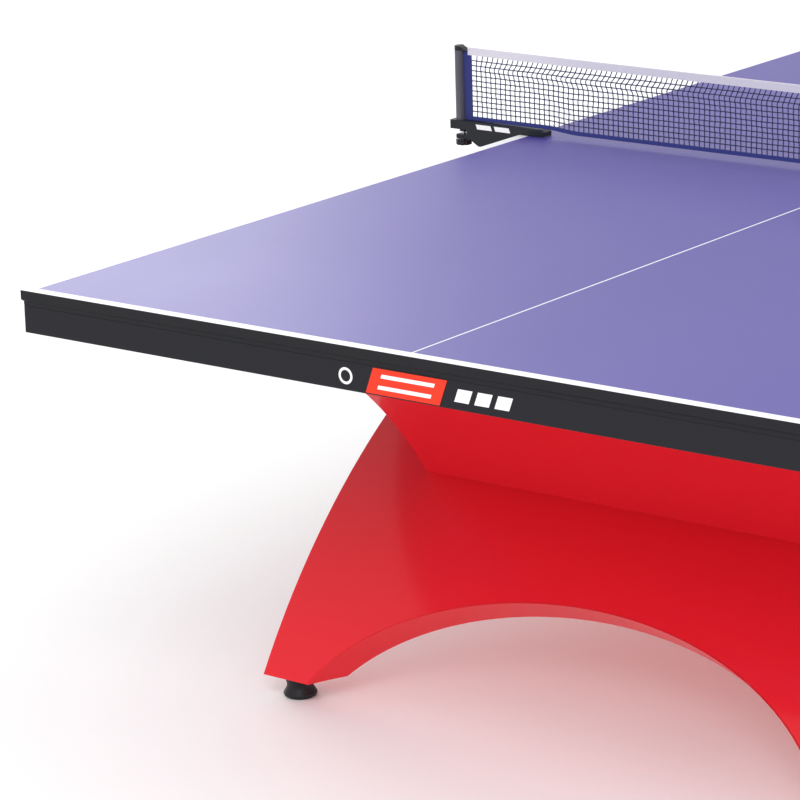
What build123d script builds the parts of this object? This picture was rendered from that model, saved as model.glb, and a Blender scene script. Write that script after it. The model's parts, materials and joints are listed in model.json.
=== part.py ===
from build123d import *
import math
import os

# Table tennis table, full size, on an arched base. Millimetres, +Z up.
# X runs across the table, Y along it, and the net stands at Y = 0. The origin is on the
# floor under the middle of the table. "near" is the end at -Y and "left" is the side at -X.

# ---------------------------------------------------------------- driving dimensions
table_length = 2740.0
table_width = 1525.0
table_height = 760.0
half_gap = 1.0              # joint between the two half tops

board_thickness = 25.0
lipping_width = 14.0        # black edge strip round each half top
lipping_face = 18.0         # upper part of its outer face, which stands proud
lipping_undercut = 3.2      # how far it stands proud of the part below
lipping_chamfer = 2.5
border_line = 20.0          # painted lines
centre_line = 3.0
paint_depth = 0.2

rail_height = 45.0          # tube frame under each half top
rail_width = 30.0
rail_wall = 2.0
rail_corner = 1.5
net_bay = 80.0              # board left free of rails on each side of the net
bearer_width = 40.0
bearer_places = (400.0, 850.0)  # distance of the inner bearers from the net

arch_radius = 1200.0        # outer face of the arch
arch_crown = 605.0          # its highest point
arch_width = 1180.0
arch_depth = 60.0           # radial depth of the hollow arch
skin = 1.5                  # sheet of every shell of the base
leg_height = 40.0           # underside of the legs
rib_angles = (-36.0, -18.0, 0.0, 18.0, 36.0)

opening_peak = 222.0        # top of the low opening between two legs
opening_tilt = 52.0         # slope of the leg where the opening is cut square to it
opening_half_width = 530.0  # half axes of the ellipse that the opening follows
opening_rise = 350.0
seam = 0.6                  # hairline joint round the opening's liner

wing_width = 886.0          # flared panels between the arch and the top
wing_radius = 951.0
wing_foot = 741.0           # distance from the net at which a wing leaves the arch
wing_reach = 1183.0         # distance from the net at which it meets the frame

beam_size = 40.0            # steel saddle in the top of the base
beam_wall = 2.5
cross_places = (-620.0, 0.0, 620.0)

foot_x = 543.0              # levelling feet
foot_y = 979.0
foot_diameter = 57.0
foot_waist = 45.0
foot_top_diameter = 51.0
foot_gap = 3.0              # between the foot and the leg
flute_count = 16
flute_radius = 2.5
sole_diameter = 48.0
sole_thickness = 3.0
stud_diameter = 12.0
stud_reach = 38.0           # stud above the underside of the leg
leg_plate_thickness = 4.0
bush_diameter = 22.0
bush_height = 18.0

net_height = 152.5
net_dip = 5.0               # lower edge of the net between the clamps, below its ends
dip_run = 70.0              # length over which it drops
net_overhang = 152.5        # from the side line to the outside of the post
tape_height = 15.0
tape_thickness = 3.0
cord_thickness = 1.0
band_height = 7.0
band_thickness = 2.0
sleeve_width = 16.5
sleeve_thickness = 3.0

post_diameter = 20.0
post_wall = 2.0
spigot_height = 25.0        # stub of the clamp inside the post
cap_height = 9.0
cap_reach = 9.0             # tongue of the cap over the tape's end
cap_rise = 2.5              # top of the cap above the net
cap_plug = 12.0             # stub of the cap inside the post

clamp_width = 28.0
clamp_arm = 14.0            # height of the arm that lies on the top
clamp_drop = 3.0            # the outer end of the clamp hangs this much lower
clamp_inner = 708.0         # distance of the arm's tip from the table's middle
clamp_outer = 921.0
clamp_clearance = 2.5       # between the clamp and the edge strip
clamp_tip_run = 12.0        # sloping end of the arm
clamp_tip_fall = 5.0
cheek_thickness = 5.0
cheek_depth = 32.0          # below the playing surface
cheek_reach = 85.0          # outer corner of the cheek, beyond the pin
cheek_foot = 57.0           # outer corner of its lower edge, beyond the pin
cheek_slope = 14.0          # upright step between those corners
felt_thickness = 1.0
pin_diameter = 6.0
pin_x = 800.0
pin_drop = 18.0             # pin below the playing surface
jaw_width = 16.0
jaw_tip = 715.0
jaw_depth = 10.0
boss_wall = 5.0             # jaw round its pin
lever_end = 912.0
lever_top = 14.0            # lever's outer end below the playing surface
lever_depth = 8.0
screw_x = 900.0
screw_diameter = 8.0
shoe_diameter = 18.0
shoe_bevel = 4.0            # lets the shoe lean with the lever
shoe_height = 5.0
knob_diameter = 30.0
knob_height = 10.0
knob_lobes = 8
lobe_radius = 3.0
screw_seat = 1.5            # shoe left above the screw

badge_width = 136.0         # slanted badge in the middle of each end rail
badge_height = 40.0
badge_slant = 15.0          # how far its top leans past its foot
badge_thickness = 0.8
mark_thickness = 0.3        # white printed marks
stripe_height = 6.0
ring_x = -113.0             # middle of the ring beside the badge
ring_diameter = 26.0
ring_line = 4.0
dash_x = (104.0, 140.0, 176.0)
dash_width = 26.0
dash_height = 20.0
clamp_mark_x = 822.0        # middle of the marks on a clamp
clamp_mark_width = 34.0
clamp_mark_pitch = 42.0
clamp_mark_height = 9.0

bolt_diameter = 8.0
bolt_head = 13.0            # across flats
bolt_head_height = 5.3
screw_shank = 5.0
screw_head = 10.0
screw_head_height = 3.0
screw_bite = 15.0           # wood screw in the board
joining_plate_width = 60.0
joining_plate_thickness = 5.0
joining_plate_x = 480.0

gap = 0.3                   # clearance between neighbours that do not bear
thread_gap = 0.05           # radial clearance of threads and pins
hole_gap = 0.5              # radial clearance of plain bolt holes

# ---------------------------------------------------------------- derived places
half_length = table_length / 2
half_width = table_width / 2
board_bottom = table_height - board_thickness
frame_bottom = board_bottom - rail_height
frame_x = half_width - lipping_undercut
frame_end = half_length - lipping_undercut
arch_centre = arch_crown - arch_radius
arch_inner = arch_radius - arch_depth
arch_half = arch_width / 2
wing_half = wing_width / 2
post_x = half_width + net_overhang - post_diameter / 2
net_top = table_height + net_height
tape_bottom = net_top - tape_height
clamp_top = table_height + clamp_arm
clamp_bottom = table_height - clamp_drop
beam_bottom = frame_bottom - beam_size
beam_x = wing_half - skin - gap - beam_size / 2
outer_bearer = wing_reach - bearer_width / 2
ends = {"near": -1, "far": 1}
sides = {"left": -1, "right": 1}
legs = [(end, side, ends[end], sides[side]) for end in ends for side in sides]

os.makedirs("parts", exist_ok=True)


def save(piece, name):
    """Label a finished piece and write it to its own file."""
    piece.part.label = name
    export_step(piece.part, f"parts/{name}.step")


# ---------------------------------------------------------------- the two half tops
def on_outside(edge):
    """Tell whether an edge lies in one of the outer faces of the top."""
    middle = edge.center()
    off_side = abs(abs(middle.X) - half_width)
    off_end = abs(abs(middle.Y) - half_length)
    return min(off_side, off_end) < gap


def half_top_outline(way, inset, far_inset=None):
    """Corners of one half top, inset on its three outer sides."""
    outer = way * (half_length - inset)
    inner = way * half_gap / 2
    x = half_width - inset
    return [(-x, outer), (x, outer), (x, inner), (-x, inner)]


def draw_border(way):
    """Draw the U-shaped border line of one half in the open sketch."""
    Polygon(*half_top_outline(way, 0), align=None)
    Polygon(*half_top_outline(way, border_line), align=None, mode=Mode.SUBTRACT)


def draw_centre(way):
    """Draw the thin line down the middle of one half in the open sketch."""
    length = half_length - border_line - half_gap / 2
    with Locations((0, way * (half_gap / 2 + length / 2))):
        Rectangle(centre_line, length)


def frame_corners(way, inset):
    """Corners of one half's tube frame, inset all round."""
    x = frame_x - inset
    outer = way * (frame_end - inset)
    inner = way * (net_bay + inset)
    return [(-x, outer), (x, outer), (x, inner), (-x, inner)]


def rail_outline(way, index, outer, inner):
    """Plan of one mitred rail between two insets from the frame's outside."""
    following = (index + 1) % 4
    a = frame_corners(way, outer)
    b = frame_corners(way, inner)
    return [a[index], a[following], b[following], b[index]]


def rail_screw_places(way, index):
    """Places of the board screws along one rail."""
    middle = frame_corners(way, rail_width / 2)
    start = Vector(*middle[index])
    run = Vector(*middle[(index + 1) % 4]) - start
    return [tuple(start + run * share)[:2] for share in (0.15, 0.5, 0.85)]


def bearer_rows(way):
    """Distance of each bearer of one half along Y, with its sign."""
    return [way * place for place in (*bearer_places, outer_bearer)]


rail_names = ("end_rail", "right_rail", "net_rail", "left_rail")

for end, way in ends.items():
    with BuildPart() as board:
        with BuildSketch(Plane.XY.offset(board_bottom)):
            Polygon(*half_top_outline(way, lipping_width), align=None)
        extrude(amount=board_thickness)
        with BuildSketch(Plane.XY.offset(table_height - paint_depth)):
            draw_border(way)
            draw_centre(way)
        extrude(amount=paint_depth, mode=Mode.SUBTRACT)
        with BuildSketch(Plane.XY.offset(board_bottom)):
            for index in range(4):
                with Locations(*rail_screw_places(way, index)):
                    Circle(screw_shank / 2 + thread_gap)
        extrude(amount=screw_bite + gap, mode=Mode.SUBTRACT)
    save(board, f"{end}_board")

    with BuildPart() as lipping:
        with BuildSketch(Plane.XY.offset(board_bottom)):
            Polygon(*half_top_outline(way, lipping_undercut), align=None)
        extrude(amount=board_thickness - lipping_face)
        with BuildSketch(Plane.XY.offset(table_height - lipping_face)):
            Polygon(*half_top_outline(way, 0), align=None)
        extrude(amount=lipping_face - paint_depth)
        low_edges = lipping.edges().filter_by_position(
            Axis.Z, table_height - lipping_face, table_height - lipping_face
        )
        chamfer(low_edges.filter_by(on_outside), lipping_chamfer)
        with BuildSketch(Plane.XY.offset(board_bottom)):
            Polygon(*half_top_outline(way, lipping_width), align=None)
        extrude(amount=board_thickness, mode=Mode.SUBTRACT)
    save(lipping, f"{end}_lipping")

    for index, rail_name in enumerate(rail_names):
        with BuildPart() as rail:
            with BuildSketch(Plane.XY.offset(frame_bottom)):
                Polygon(*rail_outline(way, index, 0, rail_width), align=None)
            extrude(amount=rail_height)
            along = Axis.X if index % 2 == 0 else Axis.Y
            fillet(rail.edges().filter_by(along), rail_corner)
            with BuildSketch(Plane.XY.offset(frame_bottom + rail_wall)):
                Polygon(
                    *rail_outline(way, index, rail_wall, rail_width - rail_wall), align=None
                )
            extrude(amount=rail_height - 2 * rail_wall, mode=Mode.SUBTRACT)
            with BuildSketch(Plane.XY.offset(frame_bottom)):
                with Locations(*rail_screw_places(way, index)):
                    Circle(screw_shank / 2 + hole_gap)
            extrude(amount=rail_height, mode=Mode.SUBTRACT)
            if rail_name == "net_rail":
                with BuildSketch(Plane.XY.offset(frame_bottom)):
                    for x in (-joining_plate_x, joining_plate_x):
                        with Locations((x, way * (net_bay + rail_width / 2))):
                            Circle(bolt_diameter / 2 + hole_gap)
                extrude(amount=rail_wall, mode=Mode.SUBTRACT)
        save(rail, f"{end}_{rail_name}")

with BuildPart() as court_lines:
    with BuildSketch(Plane.XY.offset(table_height - paint_depth)):
        for way in ends.values():
            with BuildSketch(mode=Mode.PRIVATE) as border:
                draw_border(way)
            add(border.sketch)
            draw_centre(way)
    extrude(amount=paint_depth)
save(court_lines, "court_lines")

with BuildPart() as board_screws:
    places = [
        place for way in ends.values() for index in range(4)
        for place in rail_screw_places(way, index)
    ]
    with BuildSketch(Plane.XY.offset(frame_bottom)):
        with Locations(*places):
            Circle(screw_shank / 2)
    extrude(amount=rail_height + screw_bite)
    with BuildSketch(Plane.XY.offset(frame_bottom)):
        with Locations(*places):
            Circle(screw_head / 2)
    extrude(amount=-screw_head_height)
save(board_screws, "board_screws")

with BuildPart() as frame_bearers:
    bearer_length = 2 * (frame_x - rail_width)
    rows = [(0, y) for way in ends.values() for y in bearer_rows(way)]
    with BuildSketch(Plane.XY.offset(frame_bottom)):
        with Locations(*rows):
            Rectangle(bearer_length, bearer_width)
    extrude(amount=rail_height)
    with BuildSketch(Plane.XY.offset(frame_bottom + rail_wall)):
        with Locations(*rows):
            Rectangle(bearer_length, bearer_width - 2 * rail_wall)
    extrude(amount=rail_height - 2 * rail_wall, mode=Mode.SUBTRACT)
    with BuildSketch(Plane.XY.offset(frame_bottom)):
        with Locations(*[(sx * beam_x, sy * y) for sx in (-1, 1) for sy in (-1, 1)
                         for y in bearer_places]):
            Circle(bolt_diameter / 2 + hole_gap)
    extrude(amount=rail_wall, mode=Mode.SUBTRACT)
save(frame_bearers, "frame_bearers")

plate_bolts = [
    (sx * joining_plate_x, sy * (net_bay + rail_width / 2)) for sx in (-1, 1) for sy in (-1, 1)
]
with BuildPart() as joining_plates:
    with BuildSketch(Plane.XY.offset(frame_bottom)):
        with Locations((-joining_plate_x, 0), (joining_plate_x, 0)):
            RectangleRounded(joining_plate_width, 2 * (net_bay + rail_width), 6)
        with Locations(*plate_bolts):
            Circle(bolt_diameter / 2 + hole_gap, mode=Mode.SUBTRACT)
    extrude(amount=-joining_plate_thickness)
save(joining_plates, "joining_plates")


# ---------------------------------------------------------------- badges and marks
badge_z = (frame_bottom + board_bottom) / 2
clamp_mark_z = (clamp_top + clamp_bottom) / 2
clamp_far_mark = clamp_width / 2 + mark_thickness


def slanted(middle, width, height, tall):
    """Corners of a slanted bar about a middle place and height, for a sketch in X and Z."""
    lean = badge_slant * tall / badge_height / 2
    low = height - tall / 2
    high = height + tall / 2
    half = width / 2
    return [
        (middle - half - lean, low), (middle + half - lean, low),
        (middle + half + lean, high), (middle - half + lean, high),
    ]


def end_plane(way, offset):
    """Upright plane on the outer face of an end rail, moved outwards by an offset."""
    return Plane(origin=(0, way * (frame_end + offset), 0), x_dir=(-way, 0, 0), z_dir=(0, way, 0))


with BuildPart() as end_badges:
    for way in ends.values():
        with BuildSketch(end_plane(way, 0)):
            Polygon(*slanted(0, badge_width, badge_z, badge_height), align=None)
        extrude(amount=badge_thickness)
save(end_badges, "end_badges")

with BuildPart() as end_marks:
    for way in ends.values():
        with BuildSketch(end_plane(way, badge_thickness)):
            for share in (-0.22, 0.22):
                height = badge_z + share * badge_height
                lean = share * badge_slant
                bar = slanted(lean, badge_width * 0.72, height, stripe_height)
                Polygon(*bar, align=None)
        extrude(amount=mark_thickness)
        with BuildSketch(end_plane(way, 0)):
            with Locations((ring_x, badge_z)):
                Circle(ring_diameter / 2)
                Circle(ring_diameter / 2 - ring_line, mode=Mode.SUBTRACT)
            for middle in dash_x:
                Polygon(*slanted(middle, dash_width, badge_z, dash_height), align=None)
        extrude(amount=mark_thickness)
save(end_marks, "end_marks")

# ---------------------------------------------------------------- the arch
def draw_ring(outer, inner):
    """Draw the arch's ring between two radii, down to the underside of the legs."""
    with Locations((0, arch_centre)):
        Circle(outer)
        Circle(inner, mode=Mode.SUBTRACT)
    with Locations((0, leg_height)):
        Rectangle(4 * arch_radius, 2 * arch_radius, align=(Align.CENTER, Align.MIN),
                  mode=Mode.INTERSECT)


def opening_plane(way):
    """Plane that touches the arch where one end's opening is cut, its Y up the slope."""
    tilt = math.radians(opening_tilt)
    touch = (0, way * arch_radius * math.sin(tilt), arch_centre + arch_radius * math.cos(tilt))
    return Plane(origin=touch, x_dir=(-way, 0, 0), z_dir=(0, way * math.sin(tilt), math.cos(tilt)))


def draw_opening(inset):
    """Draw the opening's ellipse, made smaller by an inset, in the open sketch."""
    peak_angle = math.acos((opening_peak - arch_centre) / arch_radius)
    peak = arch_radius * math.sin(math.radians(opening_tilt) - peak_angle)
    with Locations((0, peak - opening_rise)):
        Ellipse(opening_half_width - inset, opening_rise - inset)


def cut_openings(inset):
    """Cut both openings through the part that is being built."""
    for way in ends.values():
        with BuildSketch(opening_plane(way)) as opening:
            draw_opening(inset)
        extrude(opening.sketch, amount=3 * arch_depth, both=True, mode=Mode.SUBTRACT)


for name, outer in (("arch_outer_skin", arch_radius), ("arch_inner_skin", arch_inner + skin)):
    with BuildPart() as shell:
        with BuildSketch(Plane.YZ.offset(-arch_half)):
            draw_ring(outer, outer - skin)
        extrude(amount=arch_width)
        cut_openings(0)
    save(shell, name)

cavity_top = arch_radius - skin
cavity_bottom = arch_inner + skin

for side, sign in sides.items():
    with BuildPart() as arch_side:
        with BuildSketch(Plane.YZ.offset(sign * arch_half)):
            draw_ring(cavity_top, cavity_bottom)
        extrude(amount=-sign * skin)
    save(arch_side, f"arch_{side}_side")

for end, way in ends.items():
    with BuildPart() as liner:
        with BuildSketch(opening_plane(way)):
            draw_opening(seam)
        extrude(amount=3 * arch_depth, both=True)
        with BuildSketch(opening_plane(way)):
            draw_opening(seam + skin)
        extrude(amount=3 * arch_depth, both=True, mode=Mode.SUBTRACT)
        with BuildSketch(Plane.YZ.offset(-arch_half)):
            draw_ring(arch_radius, arch_inner)
        extrude(amount=arch_width, mode=Mode.INTERSECT)
    save(liner, f"{end}_opening_liner")

with BuildPart() as arch_ribs:
    rib_middle = (cavity_top + cavity_bottom) / 2
    for angle in rib_angles:
        lean = math.radians(angle)
        spot = (0, rib_middle * math.sin(lean), arch_centre + rib_middle * math.cos(lean))
        along = (0, math.cos(lean), -math.sin(lean))
        with BuildSketch(Plane(origin=spot, x_dir=(1, 0, 0), z_dir=along)):
            Rectangle(arch_width - 2 * (skin + gap), cavity_top - cavity_bottom - 2 * gap)
        extrude(amount=skin / 2, both=True)
save(arch_ribs, "arch_ribs")

with BuildPart() as leg_plates:
    with BuildSketch(Plane.XY.offset(leg_height)):
        Rectangle(arch_width - 2 * (skin + gap), 2 * arch_radius)
    extrude(amount=leg_plate_thickness)
    with BuildSketch(Plane.YZ.offset(-arch_half)):
        draw_ring(cavity_top - gap, cavity_bottom + gap)
    extrude(amount=arch_width, mode=Mode.INTERSECT)
    cut_openings(-gap)
    with BuildSketch(Plane.XY.offset(leg_height)):
        with Locations(*[(sx * foot_x, sy * foot_y) for _, _, sy, sx in legs]):
            Circle(stud_diameter / 2 + hole_gap)
    extrude(amount=leg_plate_thickness, mode=Mode.SUBTRACT)
save(leg_plates, "leg_plates")

with BuildPart() as foot_bushes:
    with BuildSketch(Plane.XY.offset(leg_height + leg_plate_thickness)):
        with Locations(*[(sx * foot_x, sy * foot_y) for _, _, sy, sx in legs]):
            Circle(bush_diameter / 2)
            Circle(stud_diameter / 2 + thread_gap, mode=Mode.SUBTRACT)
    extrude(amount=bush_height)
save(foot_bushes, "foot_bushes")


# ---------------------------------------------------------------- wings, side panels, saddle
def wing_centre(way):
    """Centre of the wing's curve: it passes through its foot on the arch and its tip."""
    foot = Vector(wing_foot, arch_centre + math.sqrt(arch_radius**2 - wing_foot**2))
    tip = Vector(wing_reach, frame_bottom)
    chord = tip - foot
    half = chord.length / 2
    square = Vector(chord.Y, -chord.X).normalized()
    centre = foot + chord * 0.5 + square * math.sqrt(wing_radius**2 - half**2)
    return (way * centre.X, centre.Y)


def cut_base_shape(wing_offset, arch_offset):
    """Take the two wings' hollows and the arch out of the sketch that is open."""
    for way in ends.values():
        with Locations(wing_centre(way)):
            Circle(wing_radius + wing_offset, mode=Mode.SUBTRACT)
    with Locations((0, arch_centre)):
        Circle(arch_radius + arch_offset, mode=Mode.SUBTRACT)


for end, way in ends.items():
    with BuildPart() as wing:
        with BuildSketch(Plane.YZ.offset(-wing_half)):
            with Locations(wing_centre(way)):
                Circle(wing_radius + skin)
                Circle(wing_radius, mode=Mode.SUBTRACT)
            with Locations((way * (wing_foot + wing_reach) / 2, frame_bottom)):
                Rectangle(
                    wing_reach - wing_foot + 4 * skin, frame_bottom,
                    align=(Align.CENTER, Align.MAX), mode=Mode.INTERSECT,
                )
            with Locations((0, arch_centre)):
                Circle(arch_radius, mode=Mode.SUBTRACT)
        extrude(amount=wing_width)
    save(wing, f"{end}_wing")

for side, sign in sides.items():
    with BuildPart() as side_panel:
        with BuildSketch(Plane.YZ.offset(sign * wing_half)):
            with Locations((0, frame_bottom)):
                Rectangle(2 * wing_reach, frame_bottom, align=(Align.CENTER, Align.MAX))
            cut_base_shape(skin, 0)
        extrude(amount=-sign * skin)
    save(side_panel, f"{side}_side_panel")

with BuildPart() as saddle_beams:
    for sign in sides.values():
        with BuildSketch(Plane.YZ.offset(sign * beam_x - beam_size / 2)):
            with Locations((0, frame_bottom)):
                Rectangle(2 * wing_reach, beam_size, align=(Align.CENTER, Align.MAX))
            cut_base_shape(skin + gap, 0)
        extrude(amount=beam_size)
        with BuildSketch(Plane.YZ.offset(sign * beam_x - beam_size / 2 + beam_wall)):
            with Locations((0, frame_bottom - beam_size / 2)):
                Rectangle(2 * wing_reach, beam_size - 2 * beam_wall)
        extrude(amount=beam_size - 2 * beam_wall, mode=Mode.SUBTRACT)
    with BuildSketch(Plane.XY.offset(beam_bottom)):
        with Locations(*[(sx * beam_x, sy * y) for sx in (-1, 1) for sy in (-1, 1)
                         for y in bearer_places]):
            Circle(bolt_diameter / 2 + hole_gap)
    extrude(amount=beam_size, mode=Mode.SUBTRACT)
save(saddle_beams, "saddle_beams")

with BuildPart() as saddle_crosses:
    cross_length = 2 * (beam_x - beam_size / 2)
    with BuildSketch(Plane.XY.offset(beam_bottom)):
        with Locations(*[(0, y) for y in cross_places]):
            Rectangle(cross_length, beam_size)
    extrude(amount=beam_size)
    with BuildSketch(Plane.XY.offset(beam_bottom + beam_wall)):
        with Locations(*[(0, y) for y in cross_places]):
            Rectangle(cross_length, beam_size - 2 * beam_wall)
    extrude(amount=beam_size - 2 * beam_wall, mode=Mode.SUBTRACT)
save(saddle_crosses, "saddle_crosses")

with BuildPart() as frame_bolts:
    saddle_places = [(sx * beam_x, sy * y) for sx in (-1, 1) for sy in (-1, 1)
                     for y in bearer_places]
    plate_bottom = frame_bottom - joining_plate_thickness
    for places, seat in ((saddle_places, beam_bottom), (plate_bolts, plate_bottom)):
        with BuildSketch(Plane.XY.offset(seat)):
            with Locations(*places):
                Circle(bolt_diameter / 2)
        extrude(amount=frame_bottom + 2 * rail_wall + 4 - seat)
        with BuildSketch(Plane.XY.offset(seat)):
            with Locations(*places):
                RegularPolygon(bolt_head / 2, 6, major_radius=False)
        extrude(amount=-bolt_head_height)
save(frame_bolts, "frame_bolts")

# ---------------------------------------------------------------- levelling feet
foot_top = leg_height - foot_gap
recess = sole_thickness + gap
pad_bottom = sole_thickness / 2

for end, side, way, sign in legs:
    spot = (sign * foot_x, way * foot_y)
    with BuildPart() as sole:
        with BuildSketch():
            with Locations(spot):
                Circle(sole_diameter / 2)
        extrude(amount=sole_thickness)
        chamfer(sole.faces().sort_by(Axis.Z)[0].edges(), 0.6)
    save(sole, f"{end}_{side}_sole")

    with BuildPart() as foot:
        with BuildSketch(Plane(origin=(*spot, 0), x_dir=(1, 0, 0), z_dir=(0, -1, 0))):
            with BuildLine():
                rim = foot_diameter / 2
                waist = foot_waist / 2
                crown = foot_top_diameter / 2
                low = Line((sole_diameter / 2 + gap, recess), (sole_diameter / 2 + gap, pad_bottom))
                lip = Line(low @ 1, (rim - 3, pad_bottom))
                bead = RadiusArc(lip @ 1, (rim - 2, pad_bottom + 9), -5.2)
                neck = Spline(bead @ 1, (waist, 19), (crown, foot_top - 4),
                              tangents=((-0.5, 1), (0.3, 1)))
                edge = RadiusArc(neck @ 1, (crown - 3, foot_top), -3.2)
                Polyline(edge @ 1, (0, foot_top), (0, recess), low @ 0)
            make_face()
        revolve(axis=Axis((*spot, 0), (0, 0, 1)))
        with BuildSketch(Plane.XY.offset(pad_bottom + 12)):
            with Locations(spot):
                with PolarLocations(crown + flute_radius * 0.45, flute_count):
                    Circle(flute_radius)
        extrude(amount=foot_top, mode=Mode.SUBTRACT)
        with BuildSketch(Plane.XY.offset(foot_top)):
            with Locations(spot):
                Circle(stud_diameter / 2)
        extrude(amount=leg_height + stud_reach - foot_top)
    save(foot, f"{end}_{side}_foot")

# ---------------------------------------------------------------- net posts and clamps
screw_top = clamp_bottom - gap
shoe_bottom = screw_top - shoe_height
lever_z = table_height - lever_top
pin_z = table_height - pin_drop
knob_top = lever_z - lever_depth - 2
cheek_bottom = table_height - cheek_depth
jaw_top = board_bottom - gap
cap_seat = net_top - cap_height + 2

clamp_face = half_width + clamp_clearance


def draw_profile(sign, *points):
    """Draw a profile in X and Z, given for the right side, in the open sketch."""
    Polygon(*[(sign * x, z) for x, z in points], align=None)


for side, sign in sides.items():
    with BuildPart() as clamp:
        with BuildSketch(Plane.XZ):
            draw_profile(
                sign,
                (clamp_outer, clamp_bottom), (clamp_outer, clamp_top),
                (post_x - post_diameter, clamp_top),
                (clamp_inner + clamp_tip_run, clamp_top - clamp_tip_fall / 3),
                (clamp_inner, clamp_top - clamp_tip_fall),
                (clamp_inner, table_height + felt_thickness),
                (clamp_face, table_height + felt_thickness), (clamp_face, clamp_bottom),
            )
        extrude(amount=clamp_width / 2, both=True)
        with BuildSketch(Plane.XZ):
            draw_profile(
                sign,
                (clamp_face, clamp_bottom), (pin_x + cheek_reach, clamp_bottom),
                (pin_x + cheek_reach - cheek_slope / 4, clamp_bottom - cheek_slope),
                (pin_x + cheek_foot, cheek_bottom),
                (clamp_face + cheek_slope / 4, cheek_bottom),
                (clamp_face, cheek_bottom + cheek_slope / 4),
            )
        extrude(amount=clamp_width / 2, both=True)
        with BuildSketch(Plane.XZ):
            draw_profile(
                sign,
                (half_width, clamp_bottom), (clamp_outer, clamp_bottom),
                (clamp_outer, 0), (half_width, 0),
            )
        extrude(amount=clamp_width / 2 - cheek_thickness, both=True, mode=Mode.SUBTRACT)
        with BuildSketch(Plane.XZ):
            with Locations((sign * pin_x, pin_z)):
                Circle(pin_diameter / 2 + thread_gap)
        extrude(amount=clamp_width, both=True, mode=Mode.SUBTRACT)
        with BuildSketch(Plane.XY.offset(clamp_top)):
            with Locations((sign * post_x, 0)):
                Circle(post_diameter / 2 - post_wall - thread_gap)
        extrude(amount=spigot_height)
    save(clamp, f"{side}_clamp")

    with BuildPart() as post:
        with BuildSketch(Plane.XY.offset(clamp_top)):
            with Locations((sign * post_x, 0)):
                Circle(post_diameter / 2)
                Circle(post_diameter / 2 - post_wall, mode=Mode.SUBTRACT)
        extrude(amount=cap_seat - clamp_top)
    save(post, f"{side}_post")

    with BuildPart() as jaw:
        boss = pin_diameter / 2 + boss_wall
        with BuildSketch(Plane.XZ):
            draw_profile(
                sign,
                (lever_end, lever_z - lever_depth), (lever_end, lever_z),
                (pin_x + 12, lever_z), (pin_x - 8, pin_z + boss - 1),
                (half_width + 3.5, jaw_top), (jaw_tip, jaw_top),
                (jaw_tip, jaw_top - jaw_depth + 3), (jaw_tip + 20, jaw_top - jaw_depth),
                (pin_x - 15, pin_z - boss - 6), (pin_x + 18, lever_z - lever_depth - 5),
                (pin_x + 40, lever_z - lever_depth),
            )
            with Locations((sign * pin_x, pin_z)):
                Circle(boss)
        extrude(amount=jaw_width / 2, both=True)
        with BuildSketch(Plane.XZ):
            with Locations((sign * pin_x, pin_z)):
                Circle(pin_diameter / 2 + thread_gap)
        extrude(amount=jaw_width, both=True, mode=Mode.SUBTRACT)
        with BuildSketch(Plane.XY.offset(lever_z)):
            with Locations((sign * screw_x, 0)):
                Circle(screw_diameter / 2 + thread_gap)
        extrude(amount=-2 * lever_depth, mode=Mode.SUBTRACT)
    save(jaw, f"{side}_jaw")

    with BuildPart() as shoe:
        with BuildSketch(Plane.XY.offset(shoe_bottom)):
            with Locations((sign * screw_x, 0)):
                Circle(shoe_diameter / 2)
        extrude(amount=shoe_height)
        chamfer(shoe.faces().sort_by(Axis.Z)[-1].edges(), shoe_bevel)
        with BuildSketch(Plane.XY.offset(shoe_bottom)):
            with Locations((sign * screw_x, 0)):
                Circle(screw_diameter / 2 + thread_gap)
        extrude(amount=shoe_height - screw_seat, mode=Mode.SUBTRACT)
    save(shoe, f"{side}_shoe")

    with BuildPart() as clamp_screw:
        with BuildSketch(Plane.XY.offset(knob_top)):
            with Locations((sign * screw_x, 0)):
                Circle(screw_diameter / 2)
        extrude(amount=shoe_bottom + shoe_height - screw_seat - gap - knob_top)
    save(clamp_screw, f"{side}_clamp_screw")

    with BuildPart() as knob:
        with BuildSketch(Plane.XY.offset(knob_top)):
            with Locations((sign * screw_x, 0)):
                Circle(knob_diameter / 2)
                with PolarLocations((knob_diameter + lobe_radius) / 2, knob_lobes):
                    Circle(lobe_radius, mode=Mode.SUBTRACT)
        extrude(amount=-knob_height)
        fillet(knob.faces().sort_by(Axis.Z)[0].edges(), 1.5)
    save(knob, f"{side}_knob")

with BuildPart() as jaw_pins:
    with BuildSketch(Plane.XZ):
        with Locations((-pin_x, pin_z), (pin_x, pin_z)):
            Circle(pin_diameter / 2)
    extrude(amount=clamp_width / 2, both=True)
save(jaw_pins, "jaw_pins")

with BuildPart() as clamp_marks:
    mark_planes = [Plane.XZ.offset(offset) for offset in (clamp_width / 2, -clamp_far_mark)]
    with BuildSketch(*mark_planes):
        for sign in sides.values():
            for step in (-0.5, 0.5):
                middle = clamp_mark_x + step * clamp_mark_pitch
                bar = slanted(middle, clamp_mark_width, clamp_mark_z, clamp_mark_height)
                draw_profile(sign, *bar)
    extrude(amount=mark_thickness)
save(clamp_marks, "clamp_marks")

with BuildPart() as clamp_felts:
    felt_length = half_width - lipping_width - clamp_inner
    with BuildSketch(Plane.XY.offset(table_height)):
        for sign in sides.values():
            with Locations((sign * (clamp_inner + felt_length / 2), 0)):
                Rectangle(felt_length, clamp_width - 2)
    extrude(amount=felt_thickness)
save(clamp_felts, "clamp_felts")

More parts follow.
